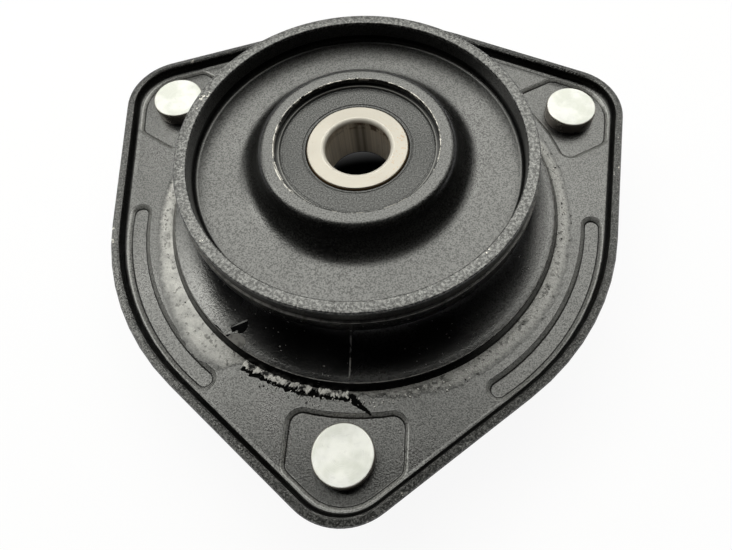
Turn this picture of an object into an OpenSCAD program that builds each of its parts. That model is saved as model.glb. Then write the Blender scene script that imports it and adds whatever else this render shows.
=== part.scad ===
// Strut mount: a pressed lobed plate on studs, a bonded rubber cone, and a dish that houses a ball bearing.
// +Z is the bearing axis and points to the strut. Z = 0 is where the stud pads meet the tower. Millimetres.

/* [Bearing] */
// Bore of the inner ring, which takes the strut rod
bore_d = 17; // [15:0.5:20]
// Outside diameter of the outer ring
bearing_od = 47; // [44:0.5:50]
// Width of both rings
bearing_w = 14; // [14:0.5:16]
// Height of the bearing's tower face above the tower
bearing_z = 16.5; // [14:0.5:20]
// Diameter of a ball
ball_d = 8.73; // [7.5:0.01:8.8]
// Land height of each ring beside its raceway
land_h = 1.6; // [1.2:0.1:2]
// Chamfer on the outer ring's fitting corners
ring_chamfer = 1; // [0.6:0.1:1.2]
// Rounding of the bore's edges
bore_round = 1; // [0.6:0.1:1.2]
// Raceway radius over ball radius
race_ratio = 1.04; // [1.02:0.01:1.08]
// Play between a ball and each raceway
ball_play = 0.03; // [0.02:0.01:0.06]
// Sheet thickness of the ball cage
cage_t = 0.8; // [0.6:0.1:1]
// Width of the cage ribbon, across the pitch circle
cage_band = 4.8; // [4:0.1:5]
// Play between a ball and its cage pocket
pocket_play = 0.15; // [0.1:0.05:0.25]
// Shank diameter of a cage rivet
rivet_d = 1.2; // [1:0.1:1.4]
// Thickness of a bearing seal
seal_t = 0.8; // [0.6:0.1:0.9]
// Depth of a seal's face below the ring faces
seal_recess = 0.5; // [0.3:0.1:0.6]
// Gap between a seal's lip and the inner ring
seal_gap = 0.25; // [0.2:0.05:0.4]

/* [Dish and cup] */
// Diameter over the dish rim
dish_d = 93.9; // [88:0.1:98]
// Sheet thickness of the dish
dish_t = 3.2; // [2.6:0.1:3.6]
// Height of the rim above the dish floor
dish_depth = 6.6; // [5.5:0.1:9]
// Depth of the dish floor below the bearing's strut face
floor_drop = 5.85; // [5:0.05:7]
// Wall of the cup round the bearing, at its top
cup_wall = 2.1; // [1.8:0.1:2.6]
// Thickness of the lip turned in over the bearing
lip_t = 1.9; // [1.6:0.1:2.4]
// Reach of the lip over the bearing
lip_reach = 2.35; // [1.6:0.05:2.6]
// Radius on the cup's shoulder
shoulder_r = 2.5; // [1.5:0.1:3.4]
// Fillet between the cup and the dish floor
cup_fillet = 7; // [3:0.1:7]
// Lean of the cup's outer wall
cup_lean = 12; // [4:1:16]
// Inside radius of the bend under the dish rim
dish_bend = 2.2; // [1:0.1:3]

/* [Bearing retainer] */
// Sheet thickness of the retainer
retainer_t = 2.3; // [1.8:0.1:2.6]
// Rubber between the retainer's flange and the throat
flange_cover = 3.5; // [2:0.1:6]
// Reach of the retainer's shoulder under the bearing
shoulder_reach = 4; // [3:0.1:5]

/* [Mounting plate] */
// Sheet thickness of the plate
plate_t = 2.3; // [2:0.1:2.6]
// Radius of the plate's outline between the lobes
waist_r = 73.8; // [70:0.1:76]
// Radius of a lobe's corner
lobe_r = 17.3; // [16:0.1:20]
// Distance of a lobe's centre inside the stud circle
lobe_shift = 0.95; // [0:0.05:2]
// Height of the rim's outer edge above the plate's face
rim_h = 2.7; // [2.4:0.1:4]
// Outward lean of the rim
rim_lean = 10; // [4:1:16]
// Fillet inside the rim
rim_fillet = 1.8; // [1:0.1:2]
// Depth of the pads and beads pressed into the plate
emboss = 1; // [0.6:0.1:1.4]
// Width of a stud pad's floor
pad_w = 29; // [26:0.5:31]
// Distance of a pad's inner edge from its stud's centre
pad_reach = 9.45; // [9:0.05:11]
// Distance of a pad's floor from the plate's edge
pad_margin = 5; // [4.6:0.1:6]
// Corner radius of a pad
pad_corner = 3; // [1.5:0.1:3.5]
// Run of a pad's sloping wall
pad_draft = 1; // [0.6:0.1:1.1]
// Rounding at the top of the pads' and beads' walls
press_r = 2; // [0.5:0.1:2.2]
// Rounding at the foot of the pads' and beads' walls
crease_r = 0.3; // [0.1:0.1:0.5]
// Distance of a bead's centre line from the plate's edge
bead_inset = 6.8; // [6.8:0.1:8]
// Width of a bead's floor
bead_w = 3.7; // [3:0.1:3.8]
// Angle that a bead's centre line covers
bead_sweep = 50.4; // [40:0.2:54]
// Run of a bead's sloping wall
bead_draft = 1.2; // [0.8:0.1:1.2]
// Inside diameter of the neck drawn towards the tower
neck_d = 88; // [86:0.5:92]
// Reach of the neck below the tower face
neck_reach = 6; // [4:0.5:8]
// Radius inside the bend at the root of the neck
neck_bend = 1.5; // [1:0.1:2]

/* [Studs] */
// Diameter of the circle through the studs
stud_circle_d = 146.5; // [142:0.1:148]
// Thread diameter
stud_d = 8; // [6:0.5:8]
// Diameter of the splined seat pressed into the plate
spline_d = 8.6; // [8.4:0.1:9.2]
// Head diameter
head_d = 15.6; // [13:0.1:17]
// Head height
head_h = 4.3; // [3:0.1:5]
// Reach of the studs below the tower face
stud_reach = 22; // [16:0.5:28]
// Chamfer at a stud's tip
stud_chamfer = 1.1; // [0.6:0.1:1.4]

/* [Rubber insulator] */
// Diameter over the lip's top edge
rubber_lip_d = 111.2; // [109:0.1:113]
// Height of the lip above the plate's face
rubber_lip_h = 2.6; // [1.5:0.1:3.5]
// Diameter of the throat under the dish
throat_d = 83; // [80:0.5:86]
// Upright part of the throat
throat_h = 0.65; // [0.2:0.05:3]
// Thickness of the rubber on the dish's outer wall
coat_t = 0.5; // [0.3:0.1:1]
// Reach of the coat above the bend under the dish rim
coat_rise = 0.1; // [0.1:0.1:2]
// Thickness of the rubber under the dish
under_t = 1.3; // [0.8:0.1:1.8]
// Rubber under the end of the neck
bead_under = 2.4; // [1.5:0.1:4]
// Rubber outside the neck
bead_over = 1.3; // [0.8:0.1:1.6]

/* [Hidden] */

// Colours
plate_black = [0.10, 0.10, 0.10];
rubber_black = [0.03, 0.03, 0.03];
bright_steel = [0.80, 0.78, 0.72];
zinc = [0.86, 0.87, 0.85];
cage_steel = [0.62, 0.60, 0.55];

// Directions of the three lobes, with one towards -Y, and of the waists between them
lobes = [-90, 30, 150];
waists = [-30, 90, 210];

// Steps in a corner, a pressed edge, a lobe and a waist, share of a pad's arc in a step, smoothness, overlap
corner_steps = 6;
press_steps = 3;
lobe_steps = 14;
waist_steps = 8;
pad_arc_step = 0.3;
$fn = 96;
cut = 0.5;

// Heights
pad_z = plate_t;
plate_z = pad_z + emboss;
sheet_z = plate_z - plate_t;
rim_z = plate_z + rim_h;
bearing_top = bearing_z + bearing_w;
bearing_mid = bearing_z + bearing_w / 2;
lip_z = bearing_top + lip_t;
floor_z = bearing_top - floor_drop;
under_z = floor_z - dish_t;
dish_top = floor_z + dish_depth;
coat_top = floor_z + dish_bend + coat_rise;
flange_z = under_z - retainer_t;
throat_top = under_z - under_t;

// Radii
bore_r = bore_d / 2;
bearing_r = bearing_od / 2;
pitch_r = (bearing_r + bore_r) / 2;
ball_r = ball_d / 2;
race_r = ball_r * race_ratio;
inner_floor_r = pitch_r - ball_r - ball_play;
outer_floor_r = pitch_r + ball_r + ball_play;
inner_land_r = inner_floor_r + land_h;
outer_land_r = outer_floor_r - land_h / 2;
cup_r = bearing_r + cup_wall;
cup_foot_r = cup_r + (lip_t + floor_drop) * tan(cup_lean);
lip_r = bearing_r - lip_reach;
dish_r = dish_d / 2;
dish_in_r = dish_r - dish_t;
retainer_r = bearing_r + retainer_t;
retainer_hole_r = bearing_r - shoulder_reach;
neck_r = neck_d / 2;
neck_out_r = neck_r + plate_t;
stud_circle_r = stud_circle_d / 2;
lobe_centre = stud_circle_r - lobe_shift;
pad_inner_r = stud_circle_r - pad_reach;
bead_r = waist_r - bead_inset;
lip_top_r = rubber_lip_d / 2;
throat_r = throat_d / 2;
flange_r = throat_r - flange_cover;
coat_r = dish_r + coat_t;

// Small roundings: pressed edges, the corner that clears the bearing, and the bends, each limited by its wall
edge_r = 0.4;
seat_corner = 0.6;
entry_r = 2;
cup_entry = 5;
retainer_round = 3;
cup_slant = (lip_t + floor_drop) / cos(cup_lean);
cup_shoulder = min(shoulder_r, cup_slant / tan(45 - cup_lean / 2) - cup_fillet - edge_r / 2);
retainer_bend = 1.5;
retainer_corner = min(retainer_round, flange_z - retainer_bend - bearing_z + retainer_t - edge_r / 2);

// The plate's outline: tangents run from each lobe to the waists at this angle from the lobe's direction
tangent_a = acos((waist_r - lobe_r) / lobe_centre);
waist_sweep = 120 - 2 * tangent_a;

// Pressed walls: share of a wall that a rounding may take, run past the sheet's face and its slope
wall_share = 0.6;
press_past = 1.2;
press_slope = 0.14;

// Flat sheet beside a bend, width of the border that carries the rim, ring that carries the neck
bend_land = 2;
border = rim_fillet + 2 * plate_t + bend_land;
neck_ring_r = neck_out_r + neck_bend + bend_land;

// Seal and groove: rim of the seal, and its snap groove in the outer ring
seal_top = bearing_w / 2 - seal_recess;
seal_low = seal_top - seal_t;
groove_depth = 1.2;
groove_mouth = 0.7;
groove_r = outer_land_r + groove_depth;
groove_mouth_r = outer_land_r + groove_mouth;
ridge_w = 0.6;
ridge_h = 0.2;

// Cage: number of balls, pocket and its shell, a rivet's head over its shank, directions of the balls
ball_count = 7;
pocket_r = ball_r + pocket_play;
shell_r = pocket_r + cage_t;
rivet_head_over = 0.5;
rivet_head_h = 0.5;
ball_step = 360 / ball_count;
first_ball = 90;

// Rubber on the tower side: foot on the retainer, wall of the hollow, bead round the neck's end
foot_w = 4;
foot_drop = 1.5;
foot_round = 2;
hollow_wall = 2.5;
hollow_round = 5;
bead_wall = 1.6;
bead_round = 1;

// Rubber on the strut side: run of the lip's wall, rounding under the dish limited by its width, steps
lip_run = 1.6;
under_bend = 2.5;
under_share = 0.45;
under_round = min(under_bend, under_share * (coat_r - throat_r));
flare_steps = 12;

function unit(v) = v / norm(v);

function polar(r, a) = [r * cos(a), r * sin(a)];

function reverse(points) = [for (i = [len(points) - 1:-1:0]) points[i]];

// Points of a fillet of radius r at corner b, coming from a and going to c
function fillet(a, b, c, r, steps) =
    let (u = unit(a - b), w = unit(c - b), half = acos(u * w) / 2)
    let (centre = b + unit(u + w) * r / sin(half))
    let (from = b + u * r / tan(half) - centre, to = b + w * r / tan(half) - centre)
    let (start = atan2(from[1], from[0]), finish = atan2(to[1], to[0]))
    let (turn = (finish - start + 540) % 360 - 180)
    [for (i = [0:steps]) centre + polar(r, start + turn * i / steps)];

// Outline with round corners, from points [x, y, radius]
function rounded(points, steps = corner_steps) =
    let (n = len(points), xy = [for (p = points) [p[0], p[1]]])
    [for (i = [0:n - 1]) each points[i][2] > 0
        ? fillet(xy[(i + n - 1) % n], xy[i], xy[(i + 1) % n], points[i][2], steps)
        : [xy[i]]];

// Quarter ellipse from the throat, where it is upright, to the lip, where it is level
function flare() =
    let (top = throat_top - under_round - throat_h, low = plate_z + rubber_lip_h)
    let (level_r = lip_top_r - edge_r)
    [for (i = [0:flare_steps]) let (a = 90 * i / flare_steps)
        [level_r - (level_r - throat_r) * cos(a), top - (top - low) * sin(a), 0]];

module revolve(points) {
    rotate_extrude() polygon(rounded(points));
}

// Plate

// Points round the three-lobed outline, set back from it: each lobe's corner, then the waist after it
function outline(set_back) =
    [for (a = lobes) each concat(
        [for (i = [0:lobe_steps]) polar(lobe_centre, a)
            + polar(lobe_r - set_back, a + tangent_a * (2 * i / lobe_steps - 1))],
        [for (i = [0:waist_steps])
            polar(waist_r - set_back, a + tangent_a + waist_sweep * i / waist_steps)])];

// Section of the plate's border and rim, from the sheet's underside to its face: [set back, height]
function rim_section() =
    let (out = [cos(rim_lean), -sin(rim_lean)], up = [sin(rim_lean), cos(rim_lean)])
    let (top_out = [0, rim_z], top_in = top_out - plate_t * out, bend_z = plate_z + rim_fillet)
    let (bend_x = top_in[0] + ((bend_z - top_in[1]) * sin(rim_lean) - rim_fillet) / cos(rim_lean))
    let (arc = [for (i = [0:corner_steps]) polar(1, -90 + (90 - rim_lean) * i / corner_steps)])
    let (section = concat(
        [[-border, sheet_z]],
        [for (p = arc) [bend_x, bend_z] + (rim_fillet + plate_t) * p],
        [top_out - edge_r * up, top_out - edge_r * out, top_in + edge_r * out, top_in - edge_r * up],
        reverse([for (p = arc) [bend_x, bend_z] + rim_fillet * p]),
        [[-border, plate_z]]))
    [for (p = section) [-p[0], p[1]]];

// Closed skin over a stack of rings, which all have as many points
module loft(rings) {
    n = len(rings[0]);
    last = (len(rings) - 1) * n;
    sides = [for (k = [0:len(rings) - 2], i = [0:n - 1])
        let (j = (i + 1) % n) [k * n + i, (k + 1) * n + i, (k + 1) * n + j, k * n + j]];
    polyhedron(
        points = [for (ring = rings) each ring],
        faces = concat([[for (i = [0:n - 1]) i]], sides, [[for (i = [n - 1:-1:0]) last + i]]));
}

// Outline at a height
function level(points, z) = [for (p = points) [p[0], p[1], z]];

// Pan with its rim: the outline at each station of the section
module pan() {
    loft([for (p = rim_section()) level(outline(p[0]), p[1])]);
}

// Horizontal shift of a pressed corner from the strut side to the tower side of the sheet
function sheet_shift(draft) = plate_t * tan(atan2(emboss, draft) / 2);

// Pressed wall from the edge of its floor to just past the sheet's face: [run, height], rounded at both ends
function press_wall(draft) =
    let (most = wall_share * norm([draft, emboss]) / tan(atan2(emboss, draft) / 2))
    let (path = rounded([[-plate_t, 0, 0], [0, 0, min(crease_r, most)], [draft, emboss, min(press_r, most)],
        [draft + press_past, emboss + press_past * press_slope, 0]], press_steps))
    [for (i = [1:len(path) - 1]) path[i]];

// Outline of a pad's floor, grown by a margin, on a lobe that points along +X
function pad_outline(grow) =
    let (half = pad_w / 2 + grow, tip_r = lobe_r - pad_margin + grow, corner = pad_corner + grow)
    let (arc_r = pad_inner_r - grow, inner_a = asin(half / arc_r), inner_x = arc_r * cos(inner_a))
    let (side_x = lobe_centre + (tip_r - half * sin(tangent_a)) / cos(tangent_a))
    let (tip_x = lobe_centre + tip_r / cos(tangent_a))
    rounded(concat(
        [[inner_x, -half, corner], [side_x, -half, corner], [tip_x, 0, tip_r],
            [side_x, half, corner], [inner_x, half, corner]],
        [for (i = [2:-1:-2]) concat(polar(arc_r, i * inner_a * pad_arc_step), [0])]));

// Stud pad: its floor outline, grown by a margin, swept up the pressed wall
module pad(grow) {
    loft([for (p = press_wall(pad_draft)) level(pad_outline(grow + p[0]), p[1])]);
}

// Bead on a waist that points along +X: an arc with round ends
module bead(grow) {
    wall = [for (p = press_wall(bead_draft)) [bead_w / 2 + grow + p[0], p[1]]];
    top = wall[len(wall) - 1][1];
    rotate([0, 0, -bead_sweep / 2]) rotate_extrude(angle = bead_sweep) translate([bead_r, 0])
        polygon(concat(wall, reverse([for (p = wall) [-p[0], p[1]]])));
    for (side = [0, 1]) mirror([0, side, 0]) rotate([0, 0, bead_sweep / 2]) translate([bead_r, 0, 0])
        rotate_extrude(angle = 180) polygon(concat([[0, 0]], wall, [[0, top]]));
}

module neck() {
    revolve([[neck_r, -neck_reach, edge_r], [neck_out_r, -neck_reach, edge_r],
        [neck_out_r, sheet_z, neck_bend], [neck_ring_r, sheet_z, 0],
        [neck_ring_r, plate_z, 0], [neck_r, plate_z, neck_bend + plate_t]]);
}

module mounting_plate() {
    color(plate_black) difference() {
        union() {
            difference() {
                pan();
                translate([0, 0, sheet_z - cut]) cylinder(r = neck_ring_r, h = plate_t + 2 * cut);
            }
            neck();
            for (a = lobes) rotate([0, 0, a]) pad(sheet_shift(pad_draft));
            for (a = waists) rotate([0, 0, a]) bead(sheet_shift(bead_draft));
        }
        for (a = lobes) rotate([0, 0, a]) {
            translate([0, 0, pad_z]) pad(0);
            translate([stud_circle_r, 0, -cut]) cylinder(d = spline_d, h = plate_t + 2 * cut);
        }
        for (a = waists) rotate([0, 0, a]) translate([0, 0, pad_z]) bead(0);
    }
}

// Studs

module stud() {
    revolve([[0, -stud_reach, 0], [stud_d / 2 - stud_chamfer, -stud_reach, 0],
        [stud_d / 2, -stud_reach + stud_chamfer, 0], [stud_d / 2, 0, 0], [spline_d / 2, 0, 0],
        [spline_d / 2, pad_z, 0], [head_d / 2, pad_z, 0], [head_d / 2, pad_z + head_h, edge_r],
        [0, pad_z + head_h, 0]]);
}

module mount_studs() {
    color(zinc) for (a = lobes) rotate([0, 0, a]) translate([stud_circle_r, 0, 0]) stud();
}

// Dish, retainer and rubber

module dish_seat() {
    color(plate_black) revolve([
        [lip_r, bearing_top, edge_r], [bearing_r, bearing_top, seat_corner],
        [bearing_r, under_z, cup_entry], [dish_r, under_z, dish_bend + dish_t],
        [dish_r, dish_top, edge_r], [dish_in_r, dish_top, edge_r],
        [dish_in_r, floor_z, dish_bend], [cup_foot_r, floor_z, cup_fillet],
        [cup_r, lip_z, cup_shoulder], [lip_r, lip_z, edge_r]]);
}

module bearing_retainer() {
    low = bearing_z - retainer_t;
    color(plate_black) revolve([
        [retainer_hole_r, low, edge_r], [retainer_r, low, retainer_corner],
        [retainer_r, flange_z, retainer_bend], [flange_r, flange_z, 0],
        [flange_r, under_z, 0], [bearing_r, under_z, entry_r],
        [bearing_r, bearing_z, seat_corner], [retainer_hole_r, bearing_z, edge_r]]);
}

module rubber_insulator() {
    foot_z = bearing_z - retainer_t + retainer_corner;
    bead_z = -neck_reach - bead_under;
    bead_out = neck_out_r + bead_over;
    bond_under_dish = [[coat_r, coat_top, coat_t / 2], [dish_r, coat_top, 0],
        [dish_r, under_z, dish_bend + dish_t], [flange_r, under_z, 0], [flange_r, flange_z, 0],
        [retainer_r, flange_z, retainer_bend], [retainer_r, foot_z, 0]];
    tower_side = [[retainer_r + foot_w, foot_z - foot_drop, foot_round],
        [neck_r - hollow_wall, 0, hollow_round],
        [neck_r - bead_wall, bead_z, bead_round], [bead_out, bead_z, bead_round],
        [bead_out, -neck_reach / 2, edge_r]];
    bond_on_plate = [[neck_out_r, -neck_reach / 2, 0], [neck_out_r, -neck_reach, edge_r],
        [neck_r, -neck_reach, edge_r], [neck_r, plate_z, neck_bend + plate_t]];
    lip = [[lip_top_r + lip_run, plate_z, 0], [lip_top_r, plate_z + rubber_lip_h, edge_r]];
    throat = [[throat_r, throat_top, under_round], [coat_r, throat_top, under_round]];
    color(rubber_black)
        revolve(concat(bond_under_dish, tower_side, bond_on_plate, lip, reverse(flare()), throat));
}

// Bearing

module outer_ring() {
    half = bearing_w / 2;
    color(bright_steel) translate([0, 0, bearing_mid]) rotate_extrude() difference() {
        polygon(concat(
            [[bearing_r - ring_chamfer, -half], [bearing_r, -half + ring_chamfer],
                [bearing_r, half - ring_chamfer], [bearing_r - ring_chamfer, half]],
            [for (s = [1, -1]) each s > 0 ? groove_edge(s) : reverse(groove_edge(s))]));
        translate([outer_floor_r - race_r, 0]) circle(r = race_r);
    }
}

// Snap groove of a seal in the outer ring, from the face inward, on the side that s gives
function groove_edge(s) =
    [for (p = [[groove_mouth_r, bearing_w / 2], [groove_mouth_r, seal_top],
        [groove_r, seal_top], [groove_r, seal_low], [outer_land_r, seal_low]]) [p[0], s * p[1]]];

module inner_ring() {
    half = bearing_w / 2;
    color(bright_steel) translate([0, 0, bearing_mid]) rotate_extrude() difference() {
        polygon(rounded([[bore_r, -half, bore_round], [inner_land_r, -half, edge_r],
            [inner_land_r, half, edge_r], [bore_r, half, bore_round]]));
        translate([inner_floor_r + race_r, 0]) circle(r = race_r);
    }
}

// Seal with its rim in the groove, a thin ridge near the inner ring and a lip that clears it
module seal() {
    lip = inner_land_r + seal_gap;
    ridge = lip + 2 * ridge_w;
    rotate_extrude() polygon([
        [lip, seal_low], [groove_r, seal_low], [groove_r, seal_top],
        [ridge + ridge_w, seal_top], [ridge + ridge_w / 2, seal_top + ridge_h], [ridge, seal_top],
        [lip, seal_top - ridge_h]]);
}

module upper_seal() {
    color(rubber_black) translate([0, 0, bearing_mid]) seal();
}

module lower_seal() {
    color(rubber_black) translate([0, 0, bearing_mid]) mirror([0, 0, 1]) seal();
}

module at_balls(shift = 0) {
    for (i = [0:ball_count - 1]) rotate([0, 0, first_ball + (i + shift) * ball_step])
        translate([pitch_r, 0, 0]) children();
}

// Half of the cage above the balls' plane: a flat ribbon, raised into a pocket over each ball
module cage_half() {
    difference() {
        intersection() {
            union() {
                cylinder(r = pitch_r + shell_r, h = cage_t);
                at_balls() sphere(r = shell_r);
            }
            difference() {
                cylinder(r = pitch_r + cage_band / 2, h = shell_r + cut);
                translate([0, 0, -cut]) cylinder(r = pitch_r - cage_band / 2, h = shell_r + 3 * cut);
            }
        }
        at_balls() sphere(r = pocket_r);
        at_balls(0.5) translate([0, 0, -cut]) cylinder(d = rivet_d, h = cage_t + 2 * cut);
    }
}

module cage_upper() {
    color(cage_steel) translate([0, 0, bearing_mid]) cage_half();
}

module cage_lower() {
    color(cage_steel) translate([0, 0, bearing_mid]) mirror([0, 0, 1]) cage_half();
}

module cage_rivets() {
    top = cage_t + rivet_head_h;
    rivet_head_r = rivet_d / 2 + rivet_head_over;
    color(cage_steel) translate([0, 0, bearing_mid]) at_balls(0.5)
        revolve([[0, -top, 0], [rivet_head_r, -top, rivet_head_h / 2], [rivet_head_r, -cage_t, 0],
            [rivet_d / 2, -cage_t, 0], [rivet_d / 2, cage_t, 0], [rivet_head_r, cage_t, 0],
            [rivet_head_r, top, rivet_head_h / 2], [0, top, 0]]);
}

module ball(number) {
    color(bright_steel) translate([0, 0, bearing_mid])
        rotate([0, 0, first_ball + (number - 1) * ball_step]) translate([pitch_r, 0, 0]) sphere(r = ball_r);
}

mounting_plate();
mount_studs();
rubber_insulator();
dish_seat();
bearing_retainer();
outer_ring();
inner_ring();
upper_seal();
lower_seal();
cage_upper();
cage_lower();
cage_rivets();
ball(1);  // ball_1
ball(2);  // ball_2
ball(3);  // ball_3
ball(4);  // ball_4
ball(5);  // ball_5
ball(6);  // ball_6
ball(7);  // ball_7
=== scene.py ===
"""Dresses a packed strut mount: painted pressings, moulded rubber, zinc studs, a sealed bearing
and the studio round it."""
import math
import random

import bmesh
import bpy
from mathutils import Matrix, Vector, noise


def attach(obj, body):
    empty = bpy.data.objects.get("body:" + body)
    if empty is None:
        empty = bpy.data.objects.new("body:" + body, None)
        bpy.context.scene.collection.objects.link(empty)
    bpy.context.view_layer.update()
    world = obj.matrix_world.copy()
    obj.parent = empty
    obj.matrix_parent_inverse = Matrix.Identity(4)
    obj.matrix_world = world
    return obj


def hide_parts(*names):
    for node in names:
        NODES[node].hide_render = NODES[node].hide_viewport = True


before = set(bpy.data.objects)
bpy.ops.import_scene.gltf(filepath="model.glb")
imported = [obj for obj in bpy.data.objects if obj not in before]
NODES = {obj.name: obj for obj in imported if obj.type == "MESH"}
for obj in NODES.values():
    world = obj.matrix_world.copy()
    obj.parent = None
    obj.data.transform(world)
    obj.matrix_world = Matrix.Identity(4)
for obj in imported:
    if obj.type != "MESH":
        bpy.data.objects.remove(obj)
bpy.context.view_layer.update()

bl_info = {
    "name": "Strut Mount Finish",
    "version": (1, 0, 0),
    "blender": (4, 5, 0),
    "location": "3D View > Sidebar > Strut Mount",
    "description": "Builds the finished surfaces of a strut mount around its packed solids",
    "category": "Object",
}

MM = 0.001

# Heights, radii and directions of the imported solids, in millimetres and degrees
PAD_Z, PLATE_Z = 2.3, 3.3
STUD_CIRCLE_R, STUD_TIP, HEAD_TOP = 73.25, -22.0, 6.6
SHANK_R, SPLINE_R, HEAD_R = 4.0, 4.3, 7.8
LOBES = (-90, 30, 150)
THROAT_R, FLARE_R, FOOT_R = 41.5, 55.2, 57.2
DISH_R, COAT_R, COAT_TOP = 46.95, 47.45, 26.95

# Dish with its cup: radius, height and rounding of each corner of the section
DISH = [(21.15, 30.5, 0.4), (23.5, 30.5, 0.6), (23.5, 21.45, 5.0), (DISH_R, 21.45, 5.4),
        (DISH_R, 31.25, 0.4), (43.75, 31.25, 0.4), (43.75, 24.65, 1.1), (27.247, 24.65, 7.0),
        (25.6, 32.4, 2.5), (21.15, 32.4, 0.4)]

# Insulator: radius and height along each part of the section. The flare joins the lip to the coat.
DISH_BOND = [(COAT_R - 0.12, COAT_TOP), (DISH_R, COAT_TOP), (DISH_R, 26.6), (46.2, 24.2),
             (44.2, 22.2), (41.6, 21.45), (38.0, 21.45), (38.0, 19.15), (27.3, 19.15), (26.3, 18.6),
             (25.8, 17.6), (25.8, 17.2)]
TOWER_SIDE = [(27.6, 16.6), (29.0, 16.1), (30.6, 14.9), (38.6, 3.6), (40.4, 0.2), (41.4, -2.2),
              (42.4, -7.4), (43.2, -8.25), (44.2, -8.4), (46.4, -8.4), (47.3, -8.1), (47.6, -7.3),
              (47.6, -3.4), (47.3, -3.0)]
PLATE_BOND = [(46.3, -3.0), (46.3, -5.6), (45.9, -6.0), (44.4, -6.0), (44.0, -5.6), (44.0, -0.5),
              (44.3, 0.9), (45.2, 2.3), (46.6, 3.1), (47.8, PLATE_Z)]
LIP = [(FOOT_R, PLATE_Z), (56.95, 3.75), (56.1, 5.15), (55.85, 5.62), (55.62, 5.86), (55.38, 5.92)]
COAT = [(THROAT_R, 17.65), (41.69, 18.61), (42.23, 19.42), (43.04, 19.96), (44.0, 20.15),
        (44.95, 20.15), (45.9, 20.34), (46.72, 20.88), (47.26, 21.69), (COAT_R, 22.65),
        (COAT_R, COAT_TOP - 0.12)]
LIP_FLASH = [(55.34, 5.86), (55.66, 5.78), (55.62, 5.97), (55.40, 5.99)]
SEAL = [(13.45, 29.2), (20.8, 29.2), (20.8, 29.98), (20.05, 30.0), (19.9, 30.07), (19.6, 30.07),
        (19.45, 30.0), (14.42, 30.0), (14.27, 29.84), (14.1, 29.84), (13.98, 29.98),
        (13.62, 29.98), (13.45, 29.85)]

# Skin of rubber on the plate: its inner and spun radii, and the radius of its edge by direction
SKIN_INNER, SKIN_OUTER, SKIN_LEAST = 56.7, 62.0, 57.5
SKIN_REACH = ((-180, 61.2), (-166, 61.5), (-148, 63.0), (-130, 64.6), (-124, 63.0), (-119, 58.2),
              (-112, 57.6), (-92, 57.6), (-86, 58.4), (-74, 60.2), (-64, 61.4), (-50, 61.6),
              (-28, 62.0), (-13, 61.2), (8, 60.8), (40, 60.0), (90, 59.4), (140, 60.2), (180, 61.2))

# Worn lines on the cup's lip: first and last direction, radius, height and half width
WORN_LINES = ((-161, -131, 21.75, 32.43, 0.16), (146, 196, 21.5, 32.42, 0.07),
              (96, 140, 21.3, 32.36, 0.11), (-14, 72, 21.35, 32.39, 0.12))
# Chips on the cup's lip: direction and size, at one radius and height
LIP_EDGE_R, LIP_EDGE_Z = 21.34, 32.4
LIP_CHIPS = ((121.3, 0.26), (113.8, 0.24), (100, 0.2), (97.5, 0.16), (94, 0.2), (90, 0.14),
             (84, 0.15), (79, 0.13), (46.6, 0.2), (3.1, 0.28), (-6, 0.15), (-12, 0.17))

# Torn flap (radius, direction, height), its bare patch (radius, direction) and the tear paths,
# whose black is painted shadow
FLAP = ((53.2, -127.6, 6.9), (49.1, -124.7, 7.7), (51.6, -122.5, 6.4), (52.3, -122.7, 6.0),
        (52.6, -124.4, 6.4), (54.0, -126.2, 5.8))
FLAP_SHIFT = (0.15, 0.75, 0.03)
BARE_PATCH = ((55.4, -126.7), (54.3, -126.6), (52.8, -124.6), (52.9, -122.4), (53.8, -121.3),
              (55.2, -121.2), (55.5, -124.0))
FOOT_TEAR = range(-119, -89)
PLATE_TEAR = ((57.0, -90.7), (58.5, -89.8), (60.0, -88.1), (61.4, -86.3), (62.4, -85.2),
              (63.2, -84.6))
PLATE_TEAR_W = (1.0, 1.2, 0.9, 0.6, 0.4, 0.1)
FLAP_TEAR = ((55.4, -133.6, 5.9), (55.3, -131.5, 5.95), (55.35, -129.9, 5.95), (55.5, -128.6, 5.92),
             (55.6, -127.5, 5.9), (54.9, -126.9, 6.03), (54.3, -126.6, 6.12))
FLAP_TEAR_W = (0.05, 0.3, 0.35, 0.18, 0.28, 0.25, 0.1)

# Torn teeth and crumbs: arc, count, sizes, radii and stretch outwards
CRUMBS = (((-120, -90), 95, (0.32, 0.55), (57.5, 58.3), 2.1),
          ((-118, -92), 40, (0.1, 0.24), (58.6, 61.8), 1.6),
          ((-90, -56), 50, (0.12, 0.3), (58.2, 61.4), 1.3),
          ((-56, 25), 70, (0.12, 0.34), (57.9, 59.4), 1.0),
          ((-175, -122), 30, (0.1, 0.25), (57.8, 60.0), 1.0))

# Fixed tones of small marks, painted highlights and painted shade
# The lip's tone here is a painted highlight along its sides
DUST, LIP_SIDE_HIGHLIGHT, BLOT = (0.36, 0.35, 0.34), (0.16, 0.16, 0.155), (0.02, 0.02, 0.02)
# The gap tones are the black of painted shadow inside the tears
TORN_DARK, GAP_SHADOW_DARK, GAP_SHADOW_LIGHT = (0.01, 0.01, 0.01), (0.001, 0.001, 0.001), (0.004, 0.004, 0.004)
OVERSPRAY, OVERSPRAY_EDGE = (0.004, 0.004, 0.004), (0.17, 0.168, 0.16)
STUD_SIDE_SHADE = (0.36, 0.33, 0.3)

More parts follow.
